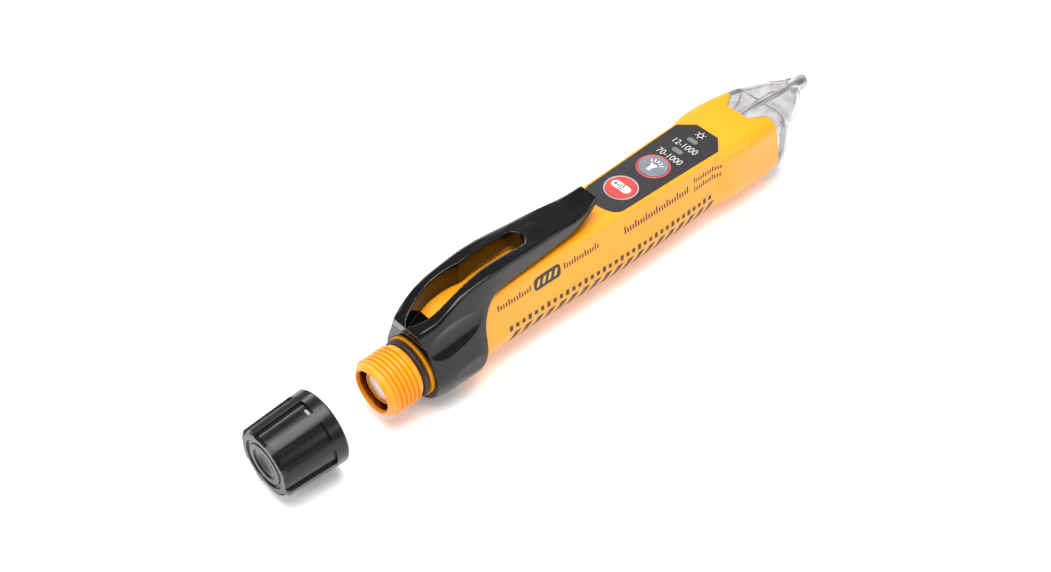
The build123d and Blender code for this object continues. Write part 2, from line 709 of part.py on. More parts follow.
def make_lamp():
    """Torch lamp: round-nosed body with a flange and two leads."""
    body = tube_x(LAMP_REAR, LAMP_TIP - LAMP_RADIUS, LAMP_RADIUS, z=LAMP_HEIGHT)
    body += Pos(LAMP_TIP - LAMP_RADIUS, 0, LAMP_HEIGHT) * Sphere(LAMP_RADIUS)
    body += tube_x(LAMP_REAR, LAMP_REAR + 0.9, LAMP_RADIUS + 0.4, z=LAMP_HEIGHT)
    for y in (-1.27, 1.27):
        body += box_between((151.0, y - 0.25, LAMP_HEIGHT - 0.25),
                            (LAMP_REAR + 0.1, y + 0.25, LAMP_HEIGHT + 0.25))
    return body


def make_lamp_holder():
    """White block on the carrier's front that holds the torch lamp."""
    block = box_between((150.6, -4.4, -6.0), (161.6, 4.4, 3.0))
    block = chamfer(block.edges().filter_by(Axis.X), 1.2)
    block -= tube_x(LAMP_REAR - 0.05, 170, LAMP_RADIUS + 0.46, z=LAMP_HEIGHT)
    block -= box_between((150, -1.8, LAMP_HEIGHT - 0.5), (160, 1.8, LAMP_HEIGHT + 0.5))
    return block


def all_nodes():
    """Every piece of the tool by name, in the tool's own frame."""
    clip_base, clip_arm = clip_base_and_arm()
    nodes = {
        "housing": make_housing(),
        "nose_lens": make_nose_lens(),
        "nose_seal": seal_band(0.1),
        "clip_base": clip_base,
        "clip_arm": clip_arm,
        "o_ring": make_o_ring(),
        "label_panel": make_label_panel(),
        "contact_sleeve": make_contact_sleeve(),
        "rear_cell": make_cell(CELL_RECESS),
        "front_cell": make_cell(CELL_RECESS + CELL_LENGTH),
        "front_spring": make_front_spring(),
        "front_contact": make_front_contact(),
        "contact_carrier": make_contact_carrier(),
        "circuit_board": make_board(),
        "board_carrier": make_board_carrier(),
        "board_screws": make_board_screws(),
        "controller_chip": make_chip(),
        "buzzer": make_buzzer(),
        "nose_glow_led": make_glow_led(),
        "sensing_antenna": make_antenna(),
        "torch_lamp": make_lamp(),
        "lamp_holder": make_lamp_holder(),
        "tail_cap": make_tail_cap(),
        "cap_contact": make_cap_contact(),
        "cap_spring": make_cap_spring(),
    }
    for name, x in (("detect", DETECT_X), ("torch", TORCH_X)):
        nodes[name + "_button"] = make_button(x)
        nodes[name + "_bezel"] = make_bezel(x)
        nodes[name + "_plunger"] = make_plunger(x)
        nodes[name + "_switch"] = make_switch(x)
    for name, x in (("low", WINDOW_LOW_X), ("high", WINDOW_HIGH_X)):
        nodes[name + "_range_window"] = make_light_window(x)
        nodes[name + "_range_led"] = make_indicator_led(x)
    return nodes


def main():
    """Writes every piece to its own file, in the stored frame."""
    os.makedirs("parts", exist_ok=True)
    place = Pos(-MIDDLE_X, 0, LOWEST)
    for name, shape in all_nodes().items():
        export_step(place * shape, "parts/" + name + ".step")


main()
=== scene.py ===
"""Looks of the pen-type voltage tester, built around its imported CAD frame.

Lengths are metres in the CAD's own frame: X runs from the tail cap to the nib, Z is up through
the buttons and Y is across. The places and sizes of printed marks are in millimetres, from the
mouth of the tail or from the middle of a button. The camera looks from behind the tail, to its
right.
"""

import math

import bmesh
import bpy
from mathutils import Matrix, Vector
from mathutils.bvhtree import BVHTree


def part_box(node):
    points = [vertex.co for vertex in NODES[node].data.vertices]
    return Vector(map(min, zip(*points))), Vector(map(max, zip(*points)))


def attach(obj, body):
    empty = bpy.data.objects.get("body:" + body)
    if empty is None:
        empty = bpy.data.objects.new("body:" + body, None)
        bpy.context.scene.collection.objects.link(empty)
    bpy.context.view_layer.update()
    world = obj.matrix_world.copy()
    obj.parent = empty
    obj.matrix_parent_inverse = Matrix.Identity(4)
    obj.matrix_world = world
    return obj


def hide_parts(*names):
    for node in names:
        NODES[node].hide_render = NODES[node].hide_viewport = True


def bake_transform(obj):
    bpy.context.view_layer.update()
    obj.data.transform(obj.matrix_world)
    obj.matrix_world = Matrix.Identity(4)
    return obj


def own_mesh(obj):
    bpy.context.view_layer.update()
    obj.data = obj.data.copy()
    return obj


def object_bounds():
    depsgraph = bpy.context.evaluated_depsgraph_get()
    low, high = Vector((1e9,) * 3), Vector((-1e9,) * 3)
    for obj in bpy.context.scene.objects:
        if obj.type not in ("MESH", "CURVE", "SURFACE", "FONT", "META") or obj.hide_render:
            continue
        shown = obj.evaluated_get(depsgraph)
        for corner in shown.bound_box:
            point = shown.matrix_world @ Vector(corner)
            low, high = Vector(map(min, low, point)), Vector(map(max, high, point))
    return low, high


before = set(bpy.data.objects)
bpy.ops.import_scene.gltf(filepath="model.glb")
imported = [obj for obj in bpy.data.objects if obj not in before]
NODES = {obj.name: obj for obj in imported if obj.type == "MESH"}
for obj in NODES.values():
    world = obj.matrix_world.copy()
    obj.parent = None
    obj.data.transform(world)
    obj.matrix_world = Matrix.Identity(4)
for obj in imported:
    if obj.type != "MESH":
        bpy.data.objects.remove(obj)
CAD_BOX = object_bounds()
MM = 0.001
SCENE = bpy.context.scene

# ---------------------------------------------------------------- places read from the frame
CAP_LOW, CAP_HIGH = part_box("tail_cap")
AXIS_Z = (CAP_LOW.z + CAP_HIGH.z) / 2
MOUTH_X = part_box("housing")[0].x
LABEL_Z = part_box("label_panel")[1].z
CLIP_SEAM_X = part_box("clip_arm")[0].x
NIB_TIP_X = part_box("nose_lens")[1].x


def tool(x, y=0.0, z=0.0):
    """Point given in millimetres from the mouth of the tail, on the battery axis."""
    return Vector((MOUTH_X + x * MM, y * MM, AXIS_Z + z * MM))


def middle_of(node):
    """Middle of a CAD node's box."""
    low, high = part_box(node)
    return (low + high) / 2


# ---------------------------------------------------------------- finishes
def paint(red, green, blue):
    """Linear colour from sRGB values of 0 to 255."""
    values = []
    for value in (red, green, blue):
        share = value / 255
        values.append(share / 12.92 if share <= 0.04045 else ((share + 0.055) / 1.055) ** 2.4)
    return (*values, 1.0)


class Finish:
    """A node material: one Principled shader and the patterns in object space that feed it."""

    # the colour sockets of a Mix node, which share their names with its other kinds
    MIX_UNDER = 6
    MIX_OVER = 7
    MIX_RESULT = 2

    def __init__(self, name, colour, roughness, **sockets):
        self.material = bpy.data.materials.new(name)
        self.material.use_nodes = True
        self.tree = self.material.node_tree
        self.shader = self.tree.nodes["Principled BSDF"]
        self.colour = colour
        self.shader.inputs["Base Color"].default_value = colour
        self.shader.inputs["Roughness"].default_value = roughness
        for socket, value in sockets.items():
            self.shader.inputs[socket.replace("_", " ")].default_value = value
        self.place = self.node("ShaderNodeTexCoord").outputs["Object"]

    def node(self, kind, **settings):
        """New node of that kind, with its settings."""
        made = self.tree.nodes.new(kind)
        for key, value in settings.items():
            setattr(made, key, value)
        return made

    def link(self, output, socket):
        """Feeds a value to a socket, or sets the socket to a plain number or colour."""
        if isinstance(output, bpy.types.NodeSocket):
            self.tree.links.new(output, socket)
        else:
            socket.default_value = output

    def stretched(self, scale):
        """Object coordinates scaled on each axis."""
        mapping = self.node("ShaderNodeMapping")
        mapping.inputs["Scale"].default_value = scale
        self.link(self.place, mapping.inputs["Vector"])
        return mapping.outputs["Vector"]

    def noise(self, size, detail=2.0, stretch=(1, 1, 1), roughness=0.5):
        """Cloudy pattern from 0 to 1 whose patches are about that size."""
        made = self.node("ShaderNodeTexNoise")
        made.inputs["Scale"].default_value = 1 / size
        made.inputs["Detail"].default_value = detail
        made.inputs["Roughness"].default_value = roughness
        self.link(self.stretched(stretch), made.inputs["Vector"])
        return made.outputs["Fac"]

    def grain(self, size):
        """Pattern of small cells, as in a spark-eroded mould."""
        made = self.node("ShaderNodeTexVoronoi", feature="SMOOTH_F1")
        made.inputs["Scale"].default_value = 1 / size
        self.link(self.place, made.inputs["Vector"])
        return made.outputs["Distance"]

    def math(self, operation, first, second=0.0):
        """One arithmetic step."""
        made = self.node("ShaderNodeMath", operation=operation)
        self.link(first, made.inputs[0])
        self.link(second, made.inputs[1])
        return made.outputs[0]

    def remap(self, value, low, high, to_low=0.0, to_high=1.0):
        """Value from low to high turned smoothly into another range."""
        made = self.node("ShaderNodeMapRange", interpolation_type="SMOOTHSTEP")
        self.link(value, made.inputs["Value"])
        made.inputs["From Min"].default_value = low
        made.inputs["From Max"].default_value = high
        made.inputs["To Min"].default_value = to_low
        made.inputs["To Max"].default_value = to_high
        return made.outputs["Result"]

    def axis(self, letter):
        """One object coordinate, in metres."""
        made = self.node("ShaderNodeSeparateXYZ")
        self.link(self.place, made.inputs[0])
        return made.outputs[letter]

    def radius(self):
        """Distance from the battery axis."""
        side = self.axis("Y")
        height = self.math("SUBTRACT", self.axis("Z"), AXIS_Z)
        squares = self.math("ADD", self.math("MULTIPLY", side, side),
                            self.math("MULTIPLY", height, height))
        return self.math("SQRT", squares)

    def mix(self, share, other):
        """Blends another colour into the base colour."""
        socket = self.shader.inputs["Base Color"]
        before = socket.links[0].from_socket if socket.is_linked else self.colour
        made = self.node("ShaderNodeMix", data_type="RGBA")
        self.link(share, made.inputs["Factor"])
        self.link(before, made.inputs[self.MIX_UNDER])
        self.link(other, made.inputs[self.MIX_OVER])
        self.link(made.outputs[self.MIX_RESULT], socket)
        return self

    def rough(self, value, low, high):
        """Roughness that wanders between two values with a pattern."""
        self.link(self.remap(value, 0.25, 0.75, low, high), self.shader.inputs["Roughness"])
        return self

    def bump(self, height, depth, strength=1.0):
        """Relief of that depth in metres, on top of any before it."""
        socket = self.shader.inputs["Normal"]
        before = socket.links[0].from_socket if socket.is_linked else None
        made = self.node("ShaderNodeBump")
        made.inputs["Strength"].default_value = strength
        made.inputs["Distance"].default_value = depth
        self.link(height, made.inputs["Height"])
        if before is not None:
            self.link(before, made.inputs["Normal"])
        self.link(made.outputs["Normal"], socket)
        return self

    def soft_edges(self, radius):
        """Edges catch the light as if rounded to that radius."""
        made = self.node("ShaderNodeBevel", samples=6)
        made.inputs["Radius"].default_value = radius
        self.link(made.outputs["Normal"], self.shader.inputs["Normal"])
        return self

    def on(self, *nodes):
        """Puts the finish on CAD nodes or pieces."""
        for item in nodes:
            piece = NODES[item] if isinstance(item, str) else item
            piece.data.materials.clear()
            piece.data.materials.append(self.material)
        return self


def moulded_yellow():
    """Satin yellow ABS with a faint mould grain and slight shade changes."""
    finish = Finish("housing_yellow", paint(247, 158, 12), 0.32, IOR=1.5,
                    Subsurface_Weight=0.04, Subsurface_Scale=0.002,
                    Subsurface_Radius=(1.0, 0.45, 0.1))
    finish.soft_edges(0.25 * MM)
    finish.mix(finish.remap(finish.noise(30 * MM, 3), 0.35, 0.75, 0.0, 0.35), paint(242, 150, 6))
    finish.mix(finish.remap(finish.noise(1.1 * MM, 2), 0.60, 0.80, 0.0, 0.10), paint(224, 146, 14))
    finish.rough(finish.noise(8 * MM, 4), 0.31, 0.42)
    finish.bump(finish.grain(0.32 * MM), 0.006 * MM, 0.5)
    finish.bump(finish.noise(4 * MM, 2), 0.01 * MM, 0.35)
    return finish


def scuffed_black(name, shade, roughness, grain_depth):
    """Glossy black nylon: fine grain, drawn-out scuffs and slightly greyed patches."""
    finish = Finish(name, shade, roughness, IOR=1.42)
    finish.soft_edges(0.22 * MM)
    finish.mix(finish.remap(finish.noise(6 * MM, 4), 0.5, 0.8, 0.0, 0.15), paint(30, 30, 32))
    scuffs = finish.noise(2.2 * MM, 3, stretch=(0.3, 1.4, 1.4), roughness=0.6)
    finish.rough(scuffs, roughness - 0.03, roughness + 0.08)
    finish.bump(finish.grain(0.28 * MM), grain_depth, 0.3)
    return finish


def clip_black(name):
    """The clip's own black, the glossiest on the tool."""
    return scuffed_black(name, paint(7, 7, 8), 0.1, 0.002 * MM)


def clear_nose_plastic():
    """Clear polycarbonate with flow lines and a light haze, and painted grey shade over the solid
    nib that stands in for its grey refractions.
    """
    finish = Finish("clear_nose", paint(232, 231, 232), 0.1, IOR=1.5,
                    Transmission_Weight=0.84)
    finish.mix(finish.remap(finish.noise(4 * MM, 3), 0.4, 0.7, 0.0, 0.8), paint(190, 186, 186))
    # painted shade: grey mixed into the colour towards the nib tip, for the grey look of light
    # refracted in the solid nib
    nib_root = NIB_TIP_X - 8 * MM
    painted_nib_shade = finish.remap(finish.axis("X"), nib_root, nib_root + 4 * MM, 0.0, 0.8)
    finish.mix(painted_nib_shade, paint(182, 178, 180))
    finish.rough(finish.noise(3 * MM, 3, stretch=(0.4, 1, 1)), 0.06, 0.2)
    finish.bump(finish.noise(4.5 * MM, 2, stretch=(0.5, 1, 1)), 0.05 * MM, 0.35)
    return finish


def rubber():
    """Black-brown rubber with a dusty bloom."""
    finish = Finish("seal_rubber", paint(30, 24, 22), 0.55)
    finish.mix(finish.remap(finish.noise(1.2 * MM, 4), 0.45, 0.8, 0.0, 0.5), paint(62, 52, 46))
    finish.rough(finish.noise(0.7 * MM, 3), 0.45, 0.7)
    finish.bump(finish.noise(0.3 * MM, 3), 0.01 * MM, 0.6)
    return finish


def label_film():
    """Matte charcoal film with a fine stipple."""
    finish = Finish("label_film", paint(36, 34, 36), 0.4, IOR=1.45)
    finish.soft_edges(0.12 * MM)
    finish.mix(finish.remap(finish.noise(10 * MM, 2), 0.4, 0.7, 0.0, 0.4), paint(44, 42, 44))
    finish.rough(finish.noise(2 * MM, 3), 0.36, 0.5)
    finish.bump(finish.grain(0.18 * MM), 0.004 * MM, 0.6)
    return finish


def button_silicone(name, colour, worn):
    """Silicone key: satin, a little lighter where it is pressed."""
    finish = Finish(name, colour, 0.42, IOR=1.43, Subsurface_Weight=0.06,
                    Subsurface_Scale=0.0008)
    finish.soft_edges(0.18 * MM)
    finish.mix(finish.remap(finish.noise(2.5 * MM, 3), 0.4, 0.75, 0.0, 0.45), worn)
    finish.rough(finish.noise(0.9 * MM, 3), 0.36, 0.52)
    finish.bump(finish.grain(0.22 * MM), 0.005 * MM, 0.5)
    return finish


def smoked_window():
    """Grey window over an indicator, with a lens ribbing."""
    finish = Finish("window_grey", paint(126, 124, 126), 0.2, IOR=1.5, Transmission_Weight=0.1)
    finish.mix(finish.remap(finish.noise(0.8 * MM, 2), 0.35, 0.7, 0.0, 0.5), paint(92, 90, 94))
    rib_pitch = 0.5 * MM
    turns = finish.math("MULTIPLY", finish.axis("Y"), 2 * math.pi / rib_pitch)
    ribs = finish.math("SINE", turns)
    finish.bump(ribs, 0.01 * MM, 0.4)
    return finish


def copper():
    """Rolled copper: brushed along its length, tarnished in patches."""
    finish = Finish("sleeve_copper", paint(186, 112, 62), 0.3, Metallic=1.0)
    finish.mix(finish.remap(finish.noise(3 * MM, 4), 0.4, 0.75, 0.0, 0.8), paint(120, 62, 30))
    brushed = finish.noise(1.2 * MM, 2, stretch=(0.08, 1, 1))
    finish.rough(brushed, 0.22, 0.36)
    finish.bump(brushed, 0.004 * MM, 0.3)
    return finish


def cell_finish():
    """Cell: bare ends of nickel-plated steel, a wrapper with a gold and a dark part."""
    finish = Finish("cell_wrap", paint(214, 148, 44), 0.28, IOR=1.5)
    low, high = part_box("rear_cell")
    length = high.x - low.x
    from_end = finish.math("SUBTRACT", finish.axis("X"), low.x)
    along = finish.math("PINGPONG", from_end, length)
    finish.mix(finish.remap(along, length * 0.28, length * 0.30), paint(34, 34, 38))
    wrapper_lap = 1.5 * MM
    edge = (high.z - low.z) / 2 - wrapper_lap
    bare = finish.remap(finish.radius(), edge, edge + 0.1 * MM, 1.0, 0.0)
    finish.mix(bare, paint(196, 196, 192))
    finish.link(bare, finish.shader.inputs["Metallic"])
    finish.rough(finish.noise(3 * MM, 2), 0.24, 0.36)
    finish.bump(finish.noise(4 * MM, 2), 0.01 * MM, 0.2)
    return finish


def bright_metal(name, colour, roughness, drawn=(1, 1, 1)):
    """Plated metal with draw marks along one axis."""
    finish = Finish(name, colour, roughness, Metallic=1.0)
    marks = finish.noise(0.5 * MM, 3, stretch=drawn)
    dulled = tuple(0.55 * value for value in colour[:3]) + (1.0,)
    finish.mix(finish.remap(finish.noise(2 * MM, 4), 0.5, 0.8, 0.0, 0.5), dulled)
    finish.rough(marks, roughness - 0.06, roughness + 0.1)
    finish.bump(marks, 0.004 * MM, 0.5)
    return finish


def spring_steel(name):
    """Bright drawn wire and strip of the springs and contacts."""
    return bright_metal(name, paint(188, 186, 180), 0.24, (0.2, 1, 1))


def circuit_green():
    """Solder mask with tracks and a scatter of tinned pads."""
    finish = Finish("board_green", paint(18, 74, 40), 0.32, IOR=1.5)
    pitch = 1.27 * MM
    rows = finish.math("PINGPONG", finish.axis("Y"), pitch / 2)
    wander = finish.math("MULTIPLY", finish.noise(4 * MM, 1), pitch / 2)
    track = finish.remap(finish.math("ADD", rows, wander), pitch * 0.42, pitch * 0.5)
    finish.mix(track, paint(38, 118, 62))
    pads = finish.node("ShaderNodeTexVoronoi", feature="F1")
    pads.inputs["Scale"].default_value = 1 / (2 * pitch)
    finish.link(finish.place, pads.inputs["Vector"])
    pad = finish.remap(pads.outputs["Distance"], 0.16, 0.20, 1.0, 0.0)
    finish.mix(pad, paint(208, 206, 196))
    finish.bump(track, 0.03 * MM, 0.6)
    return finish


def inner_plastic(name, colour, streak):
    """Plain moulded part of the inside, with flow marks and a matt skin."""
    finish = Finish(name, colour, 0.5, IOR=1.5)
    finish.soft_edges(0.12 * MM)
    finish.mix(finish.remap(finish.noise(4 * MM, 3, stretch=(0.4, 1, 1)), 0.4, 0.75, 0, 0.6), streak)
    finish.rough(finish.noise(1 * MM, 3), 0.42, 0.62)
    finish.bump(finish.grain(0.3 * MM), 0.006 * MM, 0.5)
    return finish


def lamp_clear():
    """Small clear lamp: polished resin with a faint milky core."""
    finish = Finish("lamp_clear", (0.96, 0.97, 1.0, 1), 0.04, IOR=1.5, Transmission_Weight=0.8)
    finish.mix(finish.remap(finish.noise(1.5 * MM, 2), 0.4, 0.7, 0.0, 0.6), (0.82, 0.84, 0.72, 1))
    finish.bump(finish.noise(1 * MM, 1), 0.01 * MM, 0.3)
    return finish


def printed_ink(name, colour, roughness=0.5):
    """Pad-printed ink with small voids and a dry edge."""
    finish = Finish(name, colour, roughness)
    thin = tuple(min(1.0, 0.75 * value + 0.10) for value in colour[:3]) + (1.0,)
    finish.mix(finish.remap(finish.noise(0.5 * MM, 3), 0.55, 0.8, 0.0, 0.5), thin)
    finish.rough(finish.noise(0.8 * MM, 2), roughness - 0.08, roughness + 0.1)
    finish.bump(finish.noise(0.3 * MM, 2), 0.004 * MM, 0.5)
    return finish


def paint_frame_nodes():
    """Every CAD node gets the finish of its slot."""
    moulded_yellow().on("housing")
    clip_black("clip_black").on("clip_base", "clip_arm")
    scuffed_black("cap_black", paint(10, 10, 11), 0.2, 0.003 * MM).on("tail_cap")
    clear_nose_plastic().on("nose_lens")
    rubber().on("o_ring", "nose_seal")
    label_film().on("label_panel")
    button_silicone("detect_red", paint(236, 62, 58), paint(244, 92, 84)).on("detect_button")
    button_silicone("ring_red", paint(214, 74, 84), paint(230, 110, 116)).on("torch_bezel")
    button_silicone("torch_grey", paint(112, 118, 124), paint(136, 142, 148)).on("torch_button")
    button_silicone("ring_grey", paint(168, 168, 172), paint(196, 196, 200)).on("detect_bezel")
    smoked_window().on("low_range_window", "high_range_window")
    copper().on("contact_sleeve")
    cell_finish().on("rear_cell", "front_cell")
    spring_steel("spring_steel").on("cap_spring", "front_spring", "cap_contact", "front_contact")
    bright_metal("screw_steel", paint(150, 150, 152), 0.3).on("board_screws")
    bright_metal("antenna_metal", paint(104, 96, 90), 0.4, (0.1, 1, 1)).on("sensing_antenna")
    circuit_green().on("circuit_board")
    inner_plastic("inner_black", paint(28, 28, 30), paint(44, 44, 46)).on(
        "contact_carrier", "controller_chip", "buzzer", "detect_switch", "torch_switch",
        "board_carrier")
    inner_plastic("inner_white", paint(226, 224, 218), paint(206, 202, 192)).on(
        "lamp_holder", "detect_plunger", "torch_plunger")
    lamp_clear().on("torch_lamp", "nose_glow_led", "low_range_led", "high_range_led")


# ---------------------------------------------------------------- the clip as one piece
def smooth_shade(piece, angle=None):
    """Smooth shading all over, or up to an angle."""
    for polygon in piece.data.polygons:
        polygon.use_smooth = True
    if angle is not None:
        piece.data.set_sharp_from_angle(angle=angle)


def apply_modifiers(piece):
    """Bakes the modifiers into the mesh."""
    bpy.context.view_layer.update()
    graph = bpy.context.evaluated_depsgraph_get()
    mesh = bpy.data.meshes.new_from_object(piece.evaluated_get(graph))
    piece.modifiers.clear()
    piece.data = mesh


CLIP_LAP = 0.3 * MM            # the arm's root is drawn this far back, into the collar
CLIP_ROOT_DEPTH = 0.02 * MM    # points this close to the seam are the arm's root face
CLIP_VOXEL = 0.22 * MM
SAME_POINT = 0.0005 * MM


def make_clip():
    """Collar and arm fused into one soft-edged moulding."""
    joined = bmesh.new()
    for node in ("clip_base", "clip_arm"):
        part = NODES[node].data.copy()
        if node == "clip_arm":
            for vertex in part.vertices:
                if vertex.co.x < CLIP_SEAM_X + CLIP_ROOT_DEPTH:
                    vertex.co.x -= CLIP_LAP
        joined.from_mesh(part)
        bpy.data.meshes.remove(part)
    bmesh.ops.remove_doubles(joined, verts=joined.verts, dist=SAME_POINT)
    mesh = bpy.data.meshes.new("clip_moulding")
    joined.to_mesh(mesh)
    joined.free()
    clip = bpy.data.objects.new("clip_moulding", mesh)
    SCENE.collection.objects.link(clip)

    remesh = clip.modifiers.new("remesh", "REMESH")
    remesh.mode = "VOXEL"
    remesh.voxel_size = CLIP_VOXEL
    smooth = clip.modifiers.new("smooth", "SMOOTH")
    smooth.factor = 0.5
    smooth.iterations = 3
    apply_modifiers(clip)
    smooth_shade(clip)
    clip_black("clip_black_moulding").on(clip)
    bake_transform(clip)
    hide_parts("clip_base", "clip_arm")


# ---------------------------------------------------------------- cap spring
SPRING_SMOOTH_ANGLE = math.radians(50)


def make_cap_spring():
    """The cap's spring, which shortens as the cap is screwed on."""
    spring = bpy.data.objects.new("cap_spring_coil", NODES["cap_spring"].data.copy())
    SCENE.collection.objects.link(spring)
    smooth_shade(spring, SPRING_SMOOTH_ANGLE)
    spring_steel("spring_steel_coil").on(spring)
    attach(spring, "cap_spring")
    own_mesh(spring)
    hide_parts("cap_spring")


# ---------------------------------------------------------------- printed marks
INK_LIFT = 0.03 * MM
INK_WELD = 0.002 * MM          # corners closer than this become one
SIDE_REACH = 30 * MM           # rays start this far out, beyond the tool


def add_piece(name, mesh, finish, body):
    """Makes a piece of a mesh being edited, with its finish, and lets it ride on a body."""
    data = bpy.data.meshes.new(name)
    mesh.to_mesh(data)
    mesh.free()
    piece = bpy.data.objects.new(name, data)
    SCENE.collection.objects.link(piece)
    finish.on(piece)
    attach(piece, body)


def surface_of(node):
    """Search tree of a CAD node's surface."""
    mesh = NODES[node].data
    corners = [vertex.co.copy() for vertex in mesh.vertices]
    faces = [tuple(polygon.vertices) for polygon in mesh.polygons]
    return BVHTree.FromPolygons(corners, faces)


def grid_patch(shape, bottom_left, bottom_right, top_left, top_right, columns, rows):
    """Adds a four-cornered patch, cut into columns and rows, to a list of flat faces."""
    for i in range(columns):
        for j in range(rows):
            corners = []
            for a, b in ((i, j), (i + 1, j), (i + 1, j + 1), (i, j + 1)):
                u, v = a / columns, b / rows
                low = [p + (q - p) * u for p, q in zip(bottom_left, bottom_right)]
                high = [p + (q - p) * u for p, q in zip(top_left, top_right)]
                corners.append(tuple(p + (q - p) * v for p, q in zip(low, high)))
            shape.append(corners)


def bar(shape, x, z, width, height, slant=0.0):
    """Upright bar, leaning by slant at the top, in millimetres on the tool's side."""
    left = x - width / 2
    right = x + width / 2
    low = z - height / 2
    high = z + height / 2
    lean = slant / 2
    grid_patch(shape, (left - lean, low), (right - lean, low), (left + lean, high),
               (right + lean, high), max(1, round(width)), max(1, round(height)))


def badge(shape, x, z, width, height, corner):
    """Filled plate with round corners."""
    steps = 24
    rows = 4
    half = width / 2

    def half_height(offset):
        over = abs(offset) - (half - corner)
        if over <= 0:
            return height / 2
        return height / 2 - corner + math.sqrt(max(0.0, corner ** 2 - over ** 2))

    offsets = [-half * math.cos(math.pi * i / steps) for i in range(steps + 1)]
    for a, b in zip(offsets, offsets[1:]):
        grid_patch(shape, (x + a, z - half_height(a)), (x + b, z - half_height(b)),
                   (x + a, z + half_height(a)), (x + b, z + half_height(b)), 1, rows)


def print_on_side(name, shape, side, finish, surface, lift=INK_LIFT):
    """Lays flat faces, given as (x, z) in millimetres, on one side of the housing."""
    mesh = bmesh.new()
    for corners in shape:
        laid = []
        for x, z in corners:
            start = tool(x, 0, z)
            start.y = side * SIDE_REACH
            hit, normal = surface.ray_cast(start, Vector((0, -side, 0)))[:2]
            if hit is None:
                break
            laid.append(mesh.verts.new(hit + normal * lift))
        if len(laid) == 4:
            mesh.faces.new(laid if side < 0 else laid[::-1])
    bmesh.ops.remove_doubles(mesh, verts=mesh.verts, dist=INK_WELD)
    add_piece(name, mesh, finish, "tester")


def tick_row(shape, x_from, x_to, z, pitch, tall, low):
    """Row of ticks like a rule's, every fourth one tall."""
    inked_share = 0.52
    count = int((x_to - x_from) / pitch)
    for i in range(count + 1):
        height = tall if i % 4 == 0 else low
        bar(shape, x_from + i * pitch, z - (tall - height) / 2, pitch * inked_share, height)


def make_range_rules(label, side, finish, surface):
    """A long rule of ticks, and two short ones one above the other ahead of it."""
    rule = []
    tick_row(rule, x_from=89.5, x_to=116.5, z=10.0, pitch=1.1, tall=2.6, low=1.7)
    for z in (11.7, 8.6):
        tick_row(rule, x_from=119.0, x_to=130.0, z=z, pitch=1.0, tall=1.9, low=1.3)
    print_on_side(f"range_rule_{label}", rule, side, finish, surface)


def make_seal_marks(label, side, rule_finish, plate_finish, bar_finish, surface):
    """A plate with four leaning bars, between two short rules."""
    dashes = []
    for x_from, x_to in ((40.0, 52.0), (65.5, 78.5)):
        tick_row(dashes, x_from, x_to, z=10.9, pitch=1.0, tall=2.2, low=1.5)
    print_on_side(f"seal_rule_{label}", dashes, side, rule_finish, surface)
    height = 10.7
    plate = []
    badge(plate, x=58.7, z=height, width=10.4, height=4.6, corner=1.4)
    print_on_side(f"seal_badge_{label}", plate, side, plate_finish, surface)
    bars = []
    first, pitch = 55.3, 2.25
    for i in range(4):
        bar(bars, first + i * pitch, height, width=1.0, height=2.3, slant=0.9)
    print_on_side(f"seal_badge_bars_{label}", bars, side, bar_finish, surface, 2 * INK_LIFT)


def make_hatched_band(label, side, finish, surface):
    """A row of dashes with a band of leaning bars under it."""
    dots = []
    first, pitch = 43.5, 2.42
    for i in range(35):
        bar(dots, first + i * pitch, 1.3, width=1.3, height=1.6 if i % 3 else 2.1)
    print_on_side(f"dash_line_{label}", dots, side, finish, surface)
    hatch = []
    first, pitch = 44.5, 4.5
    for i in range(19):
        bar(hatch, first + i * pitch, -4.4, width=2.6, height=7.0, slant=3.0)
    print_on_side(f"hatched_band_{label}", hatch, side, finish, surface)


def make_side_prints():
    """Plain marks on both sides; their places are in millimetres from the tail's mouth."""
    surface = surface_of("housing")
    brown = printed_ink("print_brown", paint(58, 34, 14))
    dark = printed_ink("print_dark", paint(34, 28, 24))
    pale = printed_ink("print_pale", paint(226, 168, 58))
    for side, label in ((-1, "right"), (1, "left")):
        make_range_rules(label, side, dark, surface)
        make_seal_marks(label, side, brown, dark, pale, surface)
        make_hatched_band(label, side, brown, surface)


def flat_sign(name, faces, at, body, finish):
    """Thin sign lying on a level face: faces are lists of (forward, left) in millimetres."""
    mesh = bmesh.new()
    for corners in faces:
        mesh.faces.new([mesh.verts.new(at + Vector((f * MM, l * MM, 0))) for f, l in corners])
    bmesh.ops.recalc_face_normals(mesh, faces=mesh.faces)
    for face in mesh.faces:
        if face.normal.z < 0:
            face.normal_flip()
    grown = bmesh.ops.extrude_face_region(mesh, geom=mesh.faces[:])
    moved = [item for item in grown["geom"] if isinstance(item, bmesh.types.BMVert)]
    bmesh.ops.translate(mesh, verts=moved, vec=(0, 0, INK_LIFT))
    add_piece(name, mesh, finish, body)


def ring_sector(inner, outer, start, end, steps, left=0.0):
    """Flat arc between two radii, as four-cornered faces; angles are in degrees from ahead."""
    faces = []
    for i in range(steps):
        angles = [math.radians(start + (end - start) * k / steps) for k in (i, i + 1)]
        ends = [(r, a) for r, a in ((inner, angles[0]), (outer, angles[0]),
                                    (outer, angles[1]), (inner, angles[1]))]
        faces.append([(r * math.cos(a), left + r * math.sin(a)) for r, a in ends])
    return faces


def stroke(forward, left, angle, length, width):
    """Straight stroke about a middle point, turned from ahead by an angle in degrees."""
    turn = math.radians(angle)
    along = (math.cos(turn) * length / 2, math.sin(turn) * length / 2)
    across = (-math.sin(turn) * width / 2, math.cos(turn) * width / 2)
    signs = ((-1, -1), (1, -1), (1, 1), (-1, 1))
    return [[(forward + a * along[0] + b * across[0], left + a * along[1] + b * across[1])
             for a, b in signs]]


def key_top(node):
    """Middle of a button's upper face."""
    top = middle_of(node)
    top.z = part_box(node)[1].z
    return top


